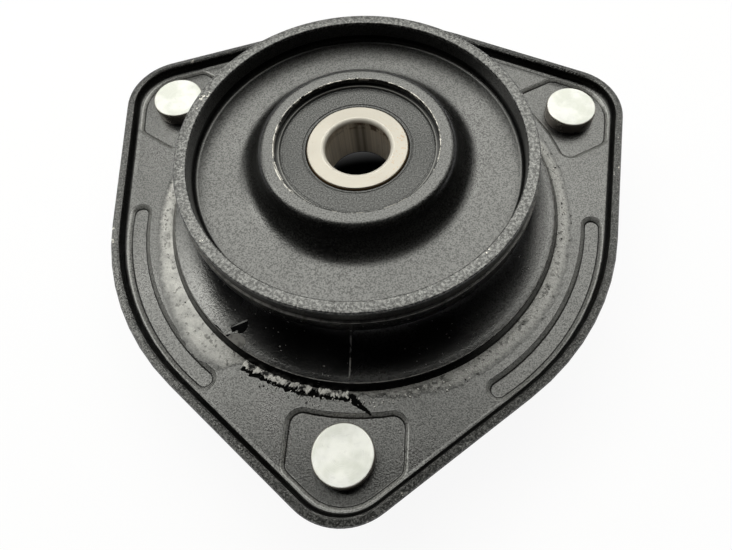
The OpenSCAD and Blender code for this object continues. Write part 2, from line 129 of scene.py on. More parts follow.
# Studio: lamps (name, setting, azimuth, zenith, width, height), tent, floor and camera
LAMPS = (("Key softbox", "key", 96, 30.5, 1.12, 0.86),
         ("Left softbox", "left", 163, 44, 0.34, 0.40),
         ("Right softbox", "right", 40, 44, 0.38, 0.40))
LAMP_COLOUR = (1.0, 1.0, 0.93)
TENT_R, TENT_FOOT_FRONT, TENT_FOOT_BACK = 1.8, 0.0, 0.3
TENT_BLACK = (0.004, 0.004, 0.004, 1)
FLOOR_HALF, UNDER_PART_SHADOW, WHITE = 6.0, (0.012, 0.012, 0.012), (1, 1, 1, 1)
CAMERA_PLACE, CAMERA_TURN = (18.06, -95.39, 152.17), (3.787, 63.872, -1.643)
CAMERA_LENS, CAMERA_SHIFT = 28.93, (-0.0554, -0.0035)


def size(name, text, default):
    return bpy.props.FloatProperty(name=name, description=text, default=default * MM,
                                   unit="LENGTH", subtype="DISTANCE", precision=5)


def tint(name, text, default):
    return bpy.props.FloatVectorProperty(name=name, description=text, default=default, size=3,
                                         min=0, max=1, subtype="COLOR")


def share(name, text, default, top=1.0):
    return bpy.props.FloatProperty(name=name, description=text, default=default, min=0, max=top,
                                   subtype="FACTOR")


class PressedSteelLook(bpy.types.PropertyGroup):
    paint: tint("Paint", "Colour of the textured paint", (0.004, 0.004, 0.0039))
    bare_steel: tint("Bare steel", "Colour where the paint is chipped off", (0.55, 0.53, 0.49))
    gloss: share("Roughness", "Roughness of the paint", 0.30)


class RubberLook(bpy.types.PropertyGroup):
    colour: tint("Rubber", "Colour of the moulded rubber", (0.005, 0.005, 0.0055))
    skin: tint("Skin", "Colour of the thin skin of rubber on the plate", (0.19, 0.187, 0.178))
    torn: tint("Torn rubber", "Colour of torn flash, the mould seam and crumbs",
               (0.68, 0.665, 0.64))
    skin_t: size("Skin thickness", "Thickness of the skin on the plate", 0.22)
    seam_w: size("Seam width", "Width of the mould seam", 0.6)
    seam_h: size("Seam height", "Height of the mould seam", 0.16)


class StudLook(bpy.types.PropertyGroup):
    zinc: tint("Zinc", "Colour of the zinc plate", (0.89, 0.895, 0.88))
    pitch: size("Thread pitch", "Distance between turns of the thread", 1.25)
    depth: size("Thread depth", "Depth of the thread", 0.77)
    head_round: size("Head rounding", "Rounding of a head's top edge", 0.55)


class BearingLook(bpy.types.PropertyGroup):
    ring: tint("Ring", "Colour of the ground rings and balls", (0.29, 0.273, 0.245))
    rust: tint("Rust", "Colour of the stains in the bore", (0.10, 0.06, 0.032))
    seal: tint("Seal", "Colour of the seals", (0.012, 0.0125, 0.0125))
    cage: tint("Cage", "Colour of the pressed cage", (0.26, 0.25, 0.23))


class StageLook(bpy.types.PropertyGroup):
    floor: tint("Floor", "Colour of the floor", (0.92, 0.92, 0.92))
    key: share("Key light", "Brightness of the large soft light above and behind", 3.7, 10)
    left: share("Left light", "Brightness of the soft light on the left", 6.2, 10)
    right: share("Right light", "Brightness of the soft light on the right", 2.3, 10)


# Node helpers


def fill(tree, node, values):
    """Sets a node's inputs, or links those that are given a socket."""
    for name, value in values.items():
        if isinstance(value, bpy.types.NodeSocket):
            tree.links.new(value, node.inputs[name])
        else:
            node.inputs[name].default_value = value


def put(tree, kind, values=None, **settings):
    made = tree.nodes.new(kind)
    for name, value in settings.items():
        setattr(made, name, value)
    fill(tree, made, values or {})
    return made


def calc(tree, operation, *values):
    """An operation on one or two values, or in turn on more."""
    made = put(tree, "ShaderNodeMath", dict(enumerate(values[:2])), operation=operation).outputs[0]
    return calc(tree, operation, made, *values[2:]) if values[2:] else made


def times(tree, *values):
    return calc(tree, "MULTIPLY", *values)


def plus(tree, *values):
    return calc(tree, "ADD", *values)


def less(tree, *values):
    return calc(tree, "SUBTRACT", *values)


def most(tree, *values):
    return calc(tree, "MAXIMUM", *values)


def ramp(tree, value, low, high, to_low=0.0, to_high=1.0):
    made = put(tree, "ShaderNodeMapRange", {
        "Value": value, "From Min": low, "From Max": high, "To Min": to_low, "To Max": to_high},
               interpolation_type="SMOOTHSTEP")
    return made.outputs["Result"]


def blend(tree, factor, a, b):
    made = put(tree, "ShaderNodeMix", data_type="RGBA")
    colours = (v if isinstance(v, bpy.types.NodeSocket) else (*v, 1.0) for v in (a, b))
    fill(tree, made, dict(zip((0, 6, 7), (factor, *colours))))
    return made.outputs[2]


def toned(colour, *factors):
    """A colour times one factor, or times one for each channel, up to full."""
    return tuple(min(1.0, c * f) for c, f in zip(colour, factors * (3 // len(factors))))


def speckle(tree, vector, scale, detail=2.0, rough=0.5):
    return put(tree, "ShaderNodeTexNoise", {"Vector": vector, "Scale": scale, "Detail": detail,
                                            "Roughness": rough}).outputs["Fac"]


def streaks(tree, along, detail):
    """Noise along one value."""
    return put(tree, "ShaderNodeTexNoise", {"W": along, "Scale": 1.0, "Detail": detail},
               noise_dimensions="1D").outputs["Fac"]


def turn_from(tree, azimuth, direction):
    """Angle between an azimuth and a direction, in radians."""
    return calc(tree, "ABSOLUTE", less(tree, azimuth, direction))


def group(name, inputs, outputs, build):
    """A shared effect: its inputs (name, kind, default), its value outputs and what it does."""
    tree = bpy.data.node_groups.new(name, "ShaderNodeTree")
    for label, kind, default in inputs:
        made = tree.interface.new_socket(name=label, in_out="INPUT",
                                         socket_type="NodeSocket" + kind)
        if default is not None:
            made.default_value = default
    for label in outputs:
        tree.interface.new_socket(name=label, in_out="OUTPUT", socket_type="NodeSocketFloat")
    arrive, leave = tree.nodes.new("NodeGroupInput"), tree.nodes.new("NodeGroupOutput")
    fill(tree, leave, build(tree, arrive.outputs))
    return tree


def grain_group():
    def build(tree, given):
        fine = speckle(tree, given["Vector"], given["Scale"], 2.0, 0.6)
        broad = speckle(tree, given["Vector"], times(tree, given["Scale"], 0.23))
        patch = speckle(tree, given["Vector"], 42.0, 3.0, 0.55)
        return {"Height": plus(tree, fine, times(tree, broad, 0.3)),
                # The third output marks bright specks of the grain, which the finishes paint into
                # their colour, partly grain and partly painted glints
                "Speck and glint": ramp(tree, fine, 0.52, 0.7),
                "Pit": ramp(tree, fine, 0.36, 0.56, 1.0, 0.0),
                "Patch": ramp(tree, patch, 0.3, 0.7)}
    return group("Sandy Grain", [("Vector", "Vector", None), ("Scale", "Float", 2400.0)],
                 ["Height", "Speck and glint", "Pit", "Patch"], build)


def zone_group():
    def build(tree, given):
        x, y, z = put(tree, "ShaderNodeSeparateXYZ", {"Vector": given["Vector"]}).outputs
        radius = calc(tree, "SQRT", plus(tree, times(tree, x, x), times(tree, y, y)))
        fade = given["Fade"]

        def between(value, low, high):
            return times(tree, ramp(tree, value, less(tree, low, fade), low),
                         ramp(tree, value, high, plus(tree, high, fade), 1.0, 0.0))
        mask = times(tree, between(radius, given["Inner"], given["Outer"]),
                     between(z, given["Low"], given["High"]))
        return {"Mask": mask, "Radius": radius, "Azimuth": calc(tree, "ARCTAN2", y, x)}
    return group("Turned Zone", [("Vector", "Vector", None), ("Inner", "Float", 0.0),
                                 ("Outer", "Float", 1.0), ("Low", "Float", -1.0),
                                 ("High", "Float", 1.0), ("Fade", "Float", 0.0003)],
                 ["Mask", "Radius", "Azimuth"], build)


def chips_group():
    def build(tree, given):
        coarse = speckle(tree, given["Vector"], given["Scale"], 3.0, 0.65)
        lump = speckle(tree, given["Vector"], times(tree, given["Scale"], 0.13))
        mix = plus(tree, coarse, times(tree, less(tree, lump, 0.5), 0.8))
        level = less(tree, 1.0, times(tree, given["Amount"], 0.6))
        return {"Mask": times(tree, calc(tree, "GREATER_THAN", mix, level), given["Where"])}
    return group("Chips", [("Vector", "Vector", None), ("Where", "Float", 1.0),
                           ("Amount", "Float", 0.5), ("Scale", "Float", 900.0)], ["Mask"], build)


def turning_group():
    def build(tree, given):
        return {"Height": streaks(tree, times(tree, given["Radius"], given["Scale"]), 3.0)}
    return group("Turning Marks", [("Radius", "Float", 0.0), ("Scale", "Float", 6000.0)],
                 ["Height"], build)


GROUPS = {}


def effect(tree, name, values):
    return put(tree, "ShaderNodeGroup", values, node_tree=GROUPS[name]).outputs


def sandy(tree, place, scale):
    return effect(tree, "Sandy Grain", {"Vector": place, "Scale": scale})


def zone(tree, place, r=(0.0, 1000.0), z=(-1000.0, 1000.0), fade=0.3):
    """A Turned Zone between two radii and two heights, in millimetres."""
    return effect(tree, "Turned Zone", {
        "Vector": place, "Inner": r[0] * MM, "Outer": r[1] * MM,
        "Low": z[0] * MM, "High": z[1] * MM, "Fade": fade * MM})


# Finishes


def feed(tree, shader, **values):
    fill(tree, shader, {label.replace("_", " "): value for label, value in values.items()})


def finish_material(name, **plain):
    """A new material, its node tree, its Principled shader with the plain values set, and its
    Object coordinates."""
    material = bpy.data.materials.new(name)
    material.use_nodes = True
    tree = material.node_tree
    shader = tree.nodes["Principled BSDF"]
    feed(tree, shader, **plain)
    return material, tree, shader, put(tree, "ShaderNodeTexCoord").outputs["Object"]


def bump(tree, shader, height, distance):
    """Relief from a height of one over a distance in millimetres."""
    made = put(tree, "ShaderNodeBump", {"Height": height, "Distance": distance * MM,
                                        "Strength": 1.0})
    feed(tree, shader, Normal=made.outputs["Normal"])


def painted_steel(name, look, coarse, chips, sheared=None, pressed=None, corner=None,
                  rim_scale=1350.0, rim_depth=1.0):
    """Fine textured paint: coarse on a rim with painted glints, chipped to bare steel, ribbed
    where it was sheared, with painted light on pressed walls and painted shade in a corner, each
    in its own zone."""
    material, tree, shader, place = finish_material(name, IOR=1.84)
    colour = tuple(look.paint)
    grain = sandy(tree, place, 2500.0)
    paint = blend(tree, grain["Patch"], toned(colour, 0.6), toned(colour, 1.6))
    # Bright specks of the grain in the paint's colour: grain and painted glints
    paint = blend(tree, grain["Speck and glint"], paint, toned(colour, 7.0))
    edge = zone(tree, place, **coarse)["Mask"]
    rim = speckle(tree, place, rim_scale, 3.0, 0.7)
    # Pale specks on the coarse rim: its real coarse grain, with its glints painted into the colour
    rim_grain_and_glints = times(tree, ramp(tree, rim, 0.46, 0.66), edge, 0.8)
    paint = blend(tree, rim_grain_and_glints, paint, toned(colour, 20 + 36 * rim_depth))
    # Painted light: a paler colour on the pressed walls, where they would render dark
    if pressed:
        thin = blend(tree, grain["Pit"], toned(colour, 50), toned(colour, 28))
        paint = blend(tree, zone(tree, place, **pressed)["Mask"], paint, thin)
    bare = 0.0
    for where, amount, scale in chips:
        bare = most(tree, bare, effect(tree, "Chips", {
            "Vector": place, "Where": zone(tree, place, **where)["Mask"], "Amount": amount,
            "Scale": scale})["Mask"])
    rim_pit = times(tree, ramp(tree, rim, 0.36, 0.5, 0.75 * rim_depth, 0.0), edge)
    dark = most(tree, times(tree, grain["Pit"], 0.5), rim_pit, times(tree, bare, 0.6))
    # Painted shade: the corner zone turns metal-dark, so that it shows no light
    if corner:
        dark = most(tree, dark, times(tree, zone(tree, place, **corner)["Mask"], 0.85))
    rough = plus(tree, look.gloss, times(tree, less(tree, grain["Patch"], 0.5), 0.08))
    height = plus(tree, grain["Height"], times(tree, rim, edge, 2.0))
    if sheared:
        ribbed = zone(tree, place, **sheared)
        ribs = streaks(tree, times(tree, ribbed["Azimuth"], 150.0), 1.0)
        height = plus(tree, height, times(tree, ribs, ribbed["Mask"], 1.5))
    feed(tree, shader, Base_Color=blend(tree, bare, paint, tuple(look.bare_steel)), Metallic=dark,
         Roughness=rough)
    bump(tree, shader, height, 0.05)
    return material


def moulded_rubber(name, colour, ior=1.86):
    """Semi-gloss black rubber with a sandy bloom and specks of dust, painted shade on the lip's
    foot and front wall, and a painted highlight along the lip at the sides."""
    material, tree, shader, place = finish_material(name, IOR=ior)
    grain = sandy(tree, place, 2100.0)
    foot = zone(tree, place, r=(56.7, 60.0), z=(0.0, 5.5))
    lip = zone(tree, place, r=(55.8, 56.7), z=(0.0, 5.5))["Mask"]
    front = ramp(tree, turn_from(tree, foot["Azimuth"], -math.pi / 2), 0.5, 0.95, 1.0, 0.0)
    # Painted shade: the lip's foot all round and its wall at the front turn metal-dark
    wall = most(tree, foot["Mask"], times(tree, lip, front))
    # Painted highlight: a pale tone along the lip at the sides, none at the front
    lip_side_highlight = times(tree, lip, less(tree, 0.9, times(tree, front, 0.9)))
    dust = ramp(tree, speckle(tree, place, 1250.0, 1.0), 0.735, 0.78)
    base = blend(tree, grain["Patch"], toned(colour, 0.7), toned(colour, 1.5))
    base = blend(tree, times(tree, dust, 0.4), base, DUST)
    base = blend(tree, lip_side_highlight, base, LIP_SIDE_HIGHLIGHT)
    rough = plus(tree, ramp(tree, grain["Patch"], 0.0, 1.0, 0.2, 0.3), times(tree, dust, 0.3))
    dark = most(tree, times(tree, grain["Pit"], 0.45), times(tree, wall, 0.85))
    feed(tree, shader, Base_Color=base, Roughness=rough, Metallic=dark)
    bump(tree, shader, grain["Height"], 0.045)
    return material


def skin_rubber(name, colour, paint):
    """Thin pale skin of rubber with fine smears, dark blots and a paler bloom on the left, thinning
    to the paint at its edge."""
    material, tree, shader, place = finish_material(name, IOR=1.75)
    turned = zone(tree, place)
    around = put(tree, "ShaderNodeCombineXYZ", {"X": times(tree, turned["Azimuth"], 60.0),
                                                "Y": times(tree, turned["Radius"], 900.0)})
    smear = speckle(tree, around.outputs["Vector"], 1.0, 3.0, 0.6)
    grain = sandy(tree, place, 2300.0)
    line = times(tree, zone(tree, place, r=(57.9, 59.2), z=(0.0, 20.0))["Mask"],
                 ramp(tree, speckle(tree, place, 640.0, 2.0, 0.55), 0.5, 0.57),
                 ramp(tree, speckle(tree, place, 95.0, 1.0), 0.44, 0.56))
    blots = most(tree, ramp(tree, speckle(tree, place, 620.0, 3.0, 0.6), 0.57, 0.66), line)
    reach = put(tree, "ShaderNodeAttribute", attribute_name="reach").outputs["Fac"]
    thin = ramp(tree, plus(tree, reach, times(tree, less(tree, smear, 0.5), 0.5)), 0.55, 1.0)
    left = ramp(tree, turn_from(tree, turned["Azimuth"], 0.0), 1.9, 2.6, 0.0, 0.65)
    bloom = times(tree, left, ramp(tree, speckle(tree, place, 260.0, 4.0, 0.65), 0.36, 0.6))
    base = blend(tree, ramp(tree, smear, 0.3, 0.7), toned(colour, 0.75), toned(colour, 1.35))
    base = blend(tree, times(tree, grain["Pit"], 0.7), base, toned(colour, 0.4))
    base = blend(tree, bloom, base, toned(colour, 2.3))
    base = blend(tree, times(tree, blots, 0.8), base, BLOT)
    # The paint showing through the thin skin keeps its specks of grain and painted glints
    base = blend(tree, thin, base, blend(tree, grain["Speck and glint"], paint, toned(paint, 8)))
    dark = most(tree, times(tree, grain["Pit"], 0.35), times(tree, blots, 0.8))
    feed(tree, shader, Base_Color=base, Metallic=dark,
         Roughness=ramp(tree, thin, 0.0, 1.0, 0.32, 0.36))
    bump(tree, shader, plus(tree, times(tree, smear, 0.5), grain["Height"]), 0.06)
    return material


def torn_rubber(name, colour, dark=TORN_DARK):
    """Torn or worn surface: pale dry faces beside dark ones."""
    material, tree, shader, place = finish_material(name, Roughness=0.75)
    lump = speckle(tree, place, 520.0, 3.0, 0.6)
    fine = speckle(tree, place, 2600.0, 2.0, 0.6)
    feed(tree, shader, Base_Color=blend(tree, ramp(tree, lump, 0.4, 0.54), dark, colour))
    bump(tree, shader, plus(tree, lump, fine), 0.1)
    return material


def gap_shadow_black(name):
    """Painted shadow: the black inside a tear that runs in under the rubber."""
    material, tree, shader, place = finish_material(name, Roughness=0.95, Specular_IOR_Level=0.05)
    feed(tree, shader, Base_Color=blend(tree, speckle(tree, place, 900.0), GAP_SHADOW_DARK, GAP_SHADOW_LIGHT))
    return material


def bore_marks(tree, place, azimuth, base, colour, rust):
    """Colour of the inner ring, and where it is dull: a streaked bore with painted shade at its
    back and rust below its mouth, a pale, dull rounded edge, a stained outer wall and specks on
    the right."""
    bore = zone(tree, place, r=(0.0, 8.8))["Mask"]
    # Painted shade at the back of the bore, with streaks of darker steel round it
    painted_back_shade = ramp(tree, turn_from(tree, azimuth, 1.62), 0.1, 0.45, 0.5, 0.0)
    streak = ramp(tree, streaks(tree, times(tree, azimuth, 9.0), 2.0), 0.3, 0.7, 0.0, 0.25)
    base = blend(tree, bore, base, toned(colour, 2.4, 2.25, 2.0))
    base = blend(tree, times(tree, bore, plus(tree, painted_back_shade, streak)), base,
                 toned(colour, 0.3, 0.27, 0.22))
    stain = times(tree, zone(tree, place, r=(0.0, 8.7), z=(27.6, 29.3), fade=0.6)["Mask"],
                  ramp(tree, speckle(tree, place, 420.0, 4.0, 0.65), 0.42, 0.56),
                  ramp(tree, turn_from(tree, azimuth, 1.05), 0.45, 1.5, 1.0, 0.3))
    base = blend(tree, stain, base, rust)
    wall = zone(tree, place, r=(13.12, 20.0), z=(0.0, 30.3), fade=0.08)["Mask"]
    base = blend(tree, wall, base, toned(rust, 2.4, 2.5, 2.0))
    specks = times(tree, ramp(tree, speckle(tree, place, 1300.0, 2.0, 0.6), 0.6, 0.7),
                   ramp(tree, turn_from(tree, azimuth, 0.0), 0.3, 1.4, 0.7, 0.1))
    base = blend(tree, specks, base, toned(rust, 2.6))
    soft = zone(tree, place, r=(0.0, 9.4), z=(29.6, 40.0))["Mask"]
    base = blend(tree, soft, base, toned(colour, 1.9))
    return base, most(tree, times(tree, soft, 0.9), times(tree, wall, 0.9), stain)


def ground_steel(name, colour, rough, rust=None, oversprayed=None):
    """Ground or turned steel with fine rings and faint stains, rust in a bore, and paint where it
    was oversprayed."""
    material, tree, shader, place = finish_material(name)
    turned = zone(tree, place)
    marks = effect(tree, "Turning Marks", {"Radius": turned["Radius"], "Scale": 9000.0})["Height"]
    patch = speckle(tree, place, 160.0, 4.0, 0.6)
    fine = speckle(tree, place, 1500.0, 3.0, 0.6)
    base = blend(tree, ramp(tree, patch, 0.35, 0.7), toned(colour, 0.9), toned(colour, 1.08))
    base = blend(tree, times(tree, ramp(tree, fine, 0.68, 0.76), 0.5), base, toned(colour, 0.4))
    metal = 1.0
    if rust:
        base, dull = bore_marks(tree, place, turned["Azimuth"], base, colour, rust)
        metal = less(tree, 1.0, dull)
    if oversprayed:
        cover = zone(tree, place, **oversprayed)["Mask"]
        edge = zone(tree, place, r=(20.2, 20.5), z=(30.0, 40.0), fade=0.1)["Mask"]
        base = blend(tree, cover, base, blend(tree, edge, OVERSPRAY, OVERSPRAY_EDGE))
        metal = less(tree, 1.0, cover)
    feed(tree, shader, Base_Color=base, Metallic=metal,
         Roughness=ramp(tree, patch, 0.3, 0.7, rough - 0.05, rough + 0.08))
    bump(tree, shader, plus(tree, marks, times(tree, fine, 0.4)), 0.008)
    return material


def zinc_plate(name, colour):
    """Bright zinc with turning rings about each stud's own axis and a patchy film, matt near-white
    with no metal as a painted highlight, and darker metal on the head's side as painted shade."""
    material, tree, shader, place = finish_material(name, IOR=1.3)
    radius = put(tree, "ShaderNodeAttribute", attribute_name="axis_r").outputs["Fac"]
    marks = effect(tree, "Turning Marks", {"Radius": radius, "Scale": 5200.0})["Height"]
    patch = speckle(tree, place, 190.0, 4.0, 0.6)
    fine = speckle(tree, place, 900.0, 3.0, 0.6)
    film = ramp(tree, speckle(tree, place, 120.0, 3.0, 0.55), 0.4, 0.62)
    side = ramp(tree, radius, 7.3 * MM, 7.7 * MM)
    base = blend(tree, ramp(tree, patch, 0.35, 0.65), colour, toned(colour, 1.08, 1.08, 1.06))
    for where, amount, other in ((film, 0.75, toned(colour, 0.78, 0.8, 0.74)),
                                 (ramp(tree, fine, 0.58, 0.7), 0.3, toned(colour, 0.7)),
                                 (ramp(tree, marks, 0.56, 0.7), 0.3, toned(colour, 1.12))):
        base = blend(tree, times(tree, where, amount), base, other)
    # Painted highlight and shade: matt near-white away from the head's side, darker metal on it
    feed(tree, shader, Base_Color=blend(tree, side, base, STUD_SIDE_SHADE),
         Metallic=times(tree, side, 0.85),
         Roughness=ramp(tree, patch, 0.3, 0.7, 0.24, 0.36))
    bump(tree, shader, plus(tree, marks, times(tree, fine, 0.5)), 0.02)
    return material


def seal_rubber(name, colour):
    """Matt black seal with sandy grain."""
    material, tree, shader, place = finish_material(name, IOR=1.62)
    grain = sandy(tree, place, 2700.0)
    base = blend(tree, grain["Patch"], toned(colour, 0.7), toned(colour, 1.4))
    # Bright specks of the grain in the seal's colour: grain and painted glints
    feed(tree, shader, Base_Color=blend(tree, grain["Speck and glint"], base, toned(colour, 6)),
         Metallic=times(tree, grain["Pit"], 0.6),
         Roughness=ramp(tree, grain["Patch"], 0.0, 1.0, 0.32, 0.42))
    bump(tree, shader, grain["Height"], 0.06)
    return material


# Mesh helpers


def link_mesh(name, bm, material):
    """A new object in the scene from a bmesh, with its material."""
    mesh = bpy.data.meshes.new(name)
    bm.to_mesh(mesh)
    bm.free()
    mesh.materials.append(material)
    made = bpy.data.objects.new(name, mesh)
    bpy.context.scene.collection.objects.link(made)
    return made


def add_piece(name, bm, body, material, slot, *stands_for, sharp=32):
    """A finished piece on its body, in place of the solids that it stands for; its slot is not
    used.
    """
    piece = link_mesh(name, bm, material)
    piece.data.shade_smooth()
    piece.data.set_sharp_from_angle(angle=math.radians(sharp))
    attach(piece, body)
    if stands_for:
        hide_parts(*stands_for)


def dress(node, material):
    """Gives a carried-over solid its finish."""
    mesh = NODES[node].data
    mesh.materials.clear()
    mesh.materials.append(material)


def polar(radius, degrees, z):
    a = math.radians(degrees)
    return Vector((radius * MM * math.cos(a), radius * MM * math.sin(a), z * MM))


def wander(x, y=0.0):
    """Smooth noise along a line."""
    return noise.noise(Vector((x, y, 0)))


def only_verts(geom):
    return [g for g in geom if isinstance(g, bmesh.types.BMVert)]


def turn_section(bm, section, steps=192, closed=True):
    """Spins a section of (radius, height) points in millimetres about the axis into a closed solid.
    An open section starts and ends on the axis."""
    verts = [bm.verts.new((r * MM, 0, z * MM)) for r, z in section]
    ends = verts[1:] + verts[:1] if closed else verts[1:]
    edges = [bm.edges.new(pair) for pair in zip(verts, ends)]
    bmesh.ops.spin(bm, geom=verts + edges, cent=(0, 0, 0), axis=(0, 0, 1), angle=math.tau,
                   steps=steps, use_merge=True)
    bmesh.ops.remove_doubles(bm, verts=bm.verts, dist=0.001 * MM)
    bmesh.ops.recalc_face_normals(bm, faces=bm.faces)


def skin_rows(bm, rows):
    """Closes a solid over rows of as many vertices each."""
    n = len(rows[0])
    for a, b in zip(rows, rows[1:]):
        for i in range(n):
            bm.faces.new((a[i], a[(i + 1) % n], b[(i + 1) % n], b[i]))
    bm.faces.new(rows[0][::-1])
    bm.faces.new(rows[-1])
    bmesh.ops.recalc_face_normals(bm, faces=bm.faces)


def raise_face(bm, points, shift):
    """A flat solid from (radius, direction, height) points, thickened by a shift in millimetres."""
    face = bm.faces.new([bm.verts.new(polar(*p)) for p in points])
    made = bmesh.ops.extrude_face_region(bm, geom=[face])
    bmesh.ops.translate(bm, verts=only_verts(made["geom"]), vec=Vector(shift) * MM)
    bmesh.ops.recalc_face_normals(bm, faces=bm.faces)


def tear(bm, path, widths, steps=5):
    """Thin ragged strip along (radius, direction, height) points, with half its width at each in
    millimetres."""
    points = [polar(*p) for p in path]
    drop = Vector((0, 0, 0.2 * MM))
    rows = []
    for i in range(len(points) - 1):
        along = (points[i + 1] - points[i]).normalized()
        side = Vector((-along.y, along.x, 0))
        for k in range(steps if i < len(points) - 2 else steps + 1):
            t = k / steps
            at = points[i].lerp(points[i + 1], t)
            half = (widths[i] * (1 - t) + widths[i + 1] * t) * MM
            left, right = (half * (1 + 0.5 * noise.noise(at / MM * 1.7 + Vector((s, 0, 0))))
                           for s in (3.0, 11.0))
            a, b = at + side * left, at - side * right
            rows.append([bm.verts.new(v) for v in (a, b, b - drop, a - drop)])
    skin_rows(bm, rows)


def rounded(points, fine=14, coarse=5):
    """Closed section of (radius, height, rounding) points with an arc at each corner."""
    made = []
    for before, (x, z, r), after in zip(points[-1:] + points[:-1], points, points[1:] + points[:1]):
        here = Vector((x, z, 0))
        a, b = ((Vector((*to[:2], 0)) - here).normalized() for to in (before, after))
        half = a.angle(b) / 2
        centre = here + (a + b).normalized() * (r / math.sin(half))
        start, end = (here + way * (r / math.tan(half)) - centre for way in (a, b))
        steps = fine if r > 1 else coarse
        made += [tuple((centre + start.slerp(end, k / steps).normalized() * r).xy)
                 for k in range(steps + 1)]
    return made


def flare_z(radius):
    """Height of the flare at a radius, in millimetres: an ellipse that still falls at the lip."""
    top, low, level_r = 17.0, 5.9, 58.2
    fall, whole = (math.sqrt(1 - ((level_r - r) / (level_r - THROAT_R)) ** 2)
                   for r in (radius, FLARE_R))
    return top - (top - low) * fall / whole


def flare(steps=22):
    """The flare from the throat to the lip, as (radius, height) in millimetres."""
    radii = [THROAT_R + (FLARE_R - THROAT_R) * (1 - math.cos(math.pi / 2 * i / steps))
             for i in range(steps + 1)]
    return [(r, flare_z(r)) for r in radii]


def skin_reach(degrees):
    """Radius of the skin's edge in a direction, in millimetres, ragged where it is torn at the
    front."""
    for (a, ra), (b, rb) in zip(SKIN_REACH, SKIN_REACH[1:]):
        if a <= degrees <= b:
            t = (degrees - a) / (b - a)
            mean = ra + (rb - ra) * t * t * (3 - 2 * t)
            break
    torn = math.exp(-((degrees + 92) / 34) ** 2)
    at = Vector((degrees * 0.35, 3.1, 0))
    wave = (noise.noise(at) * 0.5 + noise.noise(at * 4) * (0.25 + 0.9 * torn)
            + noise.noise(at * 13) * (0.1 + 0.7 * torn))
    return max(SKIN_LEAST, mean + wave)


class MadePiece:
    bl_options = {"REGISTER"}


class STRUTMOUNT_OT_plate(MadePiece, bpy.types.Operator):
    """Pressed plate: textured paint, with a coarse sheared edge"""
    bl_idname = "strut_mount.plate"
    bl_label = "Pressed plate"

    def execute(self, context):
        dress("mounting_plate", painted_steel(
            "Plate paint", context.scene.strut_steel,
            coarse={"r": (40, 120), "z": (5.6, 20)},
            chips=[({"r": (60, 120), "z": (5.7, 20)}, 0.36, 900.0)],
            sheared={"r": (60, 120), "z": (4.3, 6.6)},
            # pressed: painted light on the walls of the pads and beads
            pressed={"r": (50, 120), "z": (2.62, 3.22), "fade": 0.06},
            # corner: painted shade at the foot of the rim's inner wall
            corner={"r": (50, 120), "z": (3.6, 5.7), "fade": 0.1},
            rim_scale=2200.0, rim_depth=0.55))
        return {"FINISHED"}


class STRUTMOUNT_OT_dish(MadePiece, bpy.types.Operator):
    """Dish and retainer: paint with a coarse chipped rim and a bare edge round the cup's lip"""
    bl_idname = "strut_mount.dish"
    bl_label = "Dish and retainer"

    def execute(self, context):
        look = context.scene.strut_steel
        dish = painted_steel(
            "Dish paint", look, coarse={"r": (43.4, 60), "z": (30.6, 50)},
            chips=[({"r": (43.4, 60), "z": (30.7, 50)}, 0.34, 900.0),
                   ({"r": (20, 21.35), "z": (31.9, 50), "fade": 0.2}, 0.8, 350.0)],
            # Painted shade in the fillet at the foot of the dish's wall
            corner={"r": (42.3, 44.5), "z": (24.8, 26.8), "fade": 0.2}, rim_depth=0.75)
        retainer = painted_steel(
            "Retainer paint", look, coarse={"r": (18, 20.5), "z": (0, 50)},
            chips=[({"r": (18, 20), "z": (0, 50)}, 0.5, 700.0)],
            # Painted shade on the retainer's lower part, under the plate
            corner={"r": (0, 36), "z": (-30, 16.6)})
        bm = bmesh.new()
        turn_section(bm, rounded(DISH), 240)
        add_piece("dish_pressing", bm, "mount", dish, "dish_paint", "dish_seat", sharp=38)
        self.worn_edge(torn_rubber("Worn edge", toned(look.bare_steel, 1.55),
                                   toned(look.bare_steel, 0.3)))
        dress("bearing_retainer", retainer)
        return {"FINISHED"}

    def worn_edge(self, material):
        """Bright worn lines and chips along the inner edge of the cup's lip."""
        bm = bmesh.new()
        for first, last, radius, z, wide in WORN_LINES:
            turn = range(first, last + 1, 5)
            tear(bm, [(radius + 0.06 * wander(a * 0.1, 2), a, z) for a in turn],
                 [wide * max(0.15, 0.8 + 1.2 * wander(a * 0.23, 7)) for a in turn], 4)
        rng = random.Random(3)
        for a, radius in LIP_CHIPS:
            made = bmesh.ops.create_icosphere(bm, subdivisions=1, radius=radius * MM)["verts"]
            for v in made:
                v.co *= rng.uniform(0.7, 1.2)
                v.co.z *= 0.4
            bmesh.ops.translate(bm, verts=made, vec=polar(LIP_EDGE_R, a, LIP_EDGE_Z))
        add_piece("lip_wear", bm, "mount", material, "dish_paint", sharp=60)


